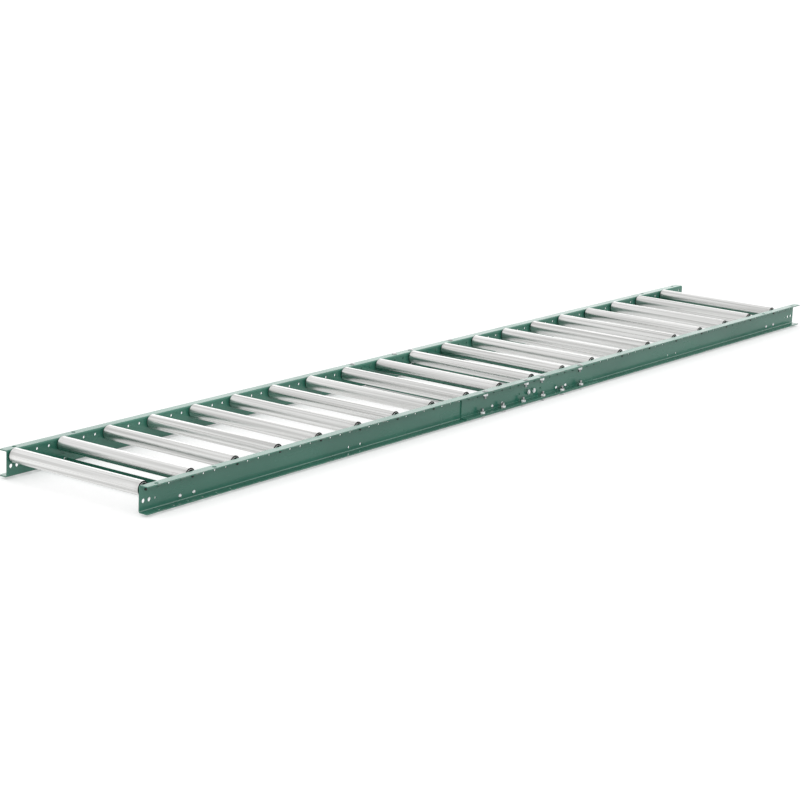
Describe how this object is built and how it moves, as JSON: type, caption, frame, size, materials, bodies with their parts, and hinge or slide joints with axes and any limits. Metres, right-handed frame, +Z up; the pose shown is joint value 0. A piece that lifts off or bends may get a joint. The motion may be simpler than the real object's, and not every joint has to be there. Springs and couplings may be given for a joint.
{
  "type": "gravity roller conveyor",
  "caption": "Straight gravity roller conveyor: bolted channel side rails carry free-spinning steel rollers on hexagonal axles, spliced at mid length.",
  "frame": {"origin": "middle of the footprint, at the height of the undersides of the lower splice bolt heads, on which the conveyor lies", "axes": "+X along the conveyor, +Y across it, +Z up"},
  "size_m": [3.048, 0.4572, 0.0743],
  "materials": {
    "green_paint": "glossy green powder coat",
    "galvanised_tube": "pale galvanised steel with lengthwise streaks",
    "bearing_steel": "oiled dark steel",
    "axle_steel": "plain drawn steel",
    "zinc_plate": "bright zinc plate"
  },
  "bodies": {
    "frame": {"right_rail_first": "green_paint", "right_rail_second": "green_paint", "left_rail_first": "green_paint", "left_rail_second": "green_paint", "right_splice_channel": "green_paint", "left_splice_channel": "green_paint", "cross_brace_1": "green_paint", "cross_brace_2": "green_paint", "cross_brace_3": "green_paint", "cross_brace_4": "green_paint", "right_bearings": "bearing_steel", "left_bearings": "bearing_steel", "roller_axles": "axle_steel", "flange_bolts": "zinc_plate", "flange_nuts": "zinc_plate", "joint_bolts": "zinc_plate", "joint_nuts": "zinc_plate", "brace_bolts": "zinc_plate", "brace_nuts": "green_paint"},
    "roller_01": {"roller_tube_01": "galvanised_tube"},
    "roller_02": {"roller_tube_02": "galvanised_tube"},
    "roller_03": {"roller_tube_03": "galvanised_tube"},
    "roller_04": {"roller_tube_04": "galvanised_tube"},
    "roller_05": {"roller_tube_05": "galvanised_tube"},
    "roller_06": {"roller_tube_06": "galvanised_tube"},
    "roller_07": {"roller_tube_07": "galvanised_tube"},
    "roller_08": {"roller_tube_08": "galvanised_tube"},
    "roller_09": {"roller_tube_09": "galvanised_tube"},
    "roller_10": {"roller_tube_10": "galvanised_tube"},
    "roller_11": {"roller_tube_11": "galvanised_tube"},
    "roller_12": {"roller_tube_12": "galvanised_tube"},
    "roller_13": {"roller_tube_13": "galvanised_tube"},
    "roller_14": {"roller_tube_14": "galvanised_tube"},
    "roller_15": {"roller_tube_15": "galvanised_tube"},
    "roller_16": {"roller_tube_16": "galvanised_tube"},
    "roller_17": {"roller_tube_17": "galvanised_tube"},
    "roller_18": {"roller_tube_18": "galvanised_tube"},
    "roller_19": {"roller_tube_19": "galvanised_tube"},
    "roller_20": {"roller_tube_20": "galvanised_tube"}
  },
  "joints": [
    {"name": "roller_01_spin", "type": "hinge", "parent": "frame", "child": "roller_01", "pos_m": [-1.50495, 0, 0.0568], "axis": [0, 1, 0], "continuous": true},
    {"name": "roller_02_spin", "type": "hinge", "parent": "frame", "child": "roller_02", "pos_m": [-1.35255, 0, 0.0568], "axis": [0, 1, 0], "continuous": true},
    {"name": "roller_03_spin", "type": "hinge", "parent": "frame", "child": "roller_03", "pos_m": [-1.20015, 0, 0.0568], "axis": [0, 1, 0], "continuous": true},
    {"name": "roller_04_spin", "type": "hinge", "parent": "frame", "child": "roller_04", "pos_m": [-1.04775, 0, 0.0568], "axis": [0, 1, 0], "continuous": true},
    {"name": "roller_05_spin", "type": "hinge", "parent": "frame", "child": "roller_05", "pos_m": [-0.89535, 0, 0.0568], "axis": [0, 1, 0], "continuous": true},
    {"name": "roller_06_spin", "type": "hinge", "parent": "frame", "child": "roller_06", "pos_m": [-0.74295, 0, 0.0568], "axis": [0, 1, 0], "continuous": true},
    {"name": "roller_07_spin", "type": "hinge", "parent": "frame", "child": "roller_07", "pos_m": [-0.59055, 0, 0.0568], "axis": [0, 1, 0], "continuous": true},
    {"name": "roller_08_spin", "type": "hinge", "parent": "frame", "child": "roller_08", "pos_m": [-0.43815, 0, 0.0568], "axis": [0, 1, 0], "continuous": true},
    {"name": "roller_09_spin", "type": "hinge", "parent": "frame", "child": "roller_09", "pos_m": [-0.28575, 0, 0.0568], "axis": [0, 1, 0], "continuous": true},
    {"name": "roller_10_spin", "type": "hinge", "parent": "frame", "child": "roller_10", "pos_m": [-0.13335, 0, 0.0568], "axis": [0, 1, 0], "continuous": true},
    {"name": "roller_11_spin", "type": "hinge", "parent": "frame", "child": "roller_11", "pos_m": [0.01905, 0, 0.0568], "axis": [0, 1, 0], "continuous": true},
    {"name": "roller_12_spin", "type": "hinge", "parent": "frame", "child": "roller_12", "pos_m": [0.17145, 0, 0.0568], "axis": [0, 1, 0], "continuous": true},
    {"name": "roller_13_spin", "type": "hinge", "parent": "frame", "child": "roller_13", "pos_m": [0.32385, 0, 0.0568], "axis": [0, 1, 0], "continuous": true},
    {"name": "roller_14_spin", "type": "hinge", "parent": "frame", "child": "roller_14", "pos_m": [0.47625, 0, 0.0568], "axis": [0, 1, 0], "continuous": true},
    {"name": "roller_15_spin", "type": "hinge", "parent": "frame", "child": "roller_15", "pos_m": [0.62865, 0, 0.0568], "axis": [0, 1, 0], "continuous": true},
    {"name": "roller_16_spin", "type": "hinge", "parent": "frame", "child": "roller_16", "pos_m": [0.78105, 0, 0.0568], "axis": [0, 1, 0], "continuous": true},
    {"name": "roller_17_spin", "type": "hinge", "parent": "frame", "child": "roller_17", "pos_m": [0.93345, 0, 0.0568], "axis": [0, 1, 0], "continuous": true},
    {"name": "roller_18_spin", "type": "hinge", "parent": "frame", "child": "roller_18", "pos_m": [1.08585, 0, 0.0568], "axis": [0, 1, 0], "continuous": true},
    {"name": "roller_19_spin", "type": "hinge", "parent": "frame", "child": "roller_19", "pos_m": [1.23825, 0, 0.0568], "axis": [0, 1, 0], "continuous": true},
    {"name": "roller_20_spin", "type": "hinge", "parent": "frame", "child": "roller_20", "pos_m": [1.39065, 0, 0.0568], "axis": [0, 1, 0], "continuous": true}
  ]
}
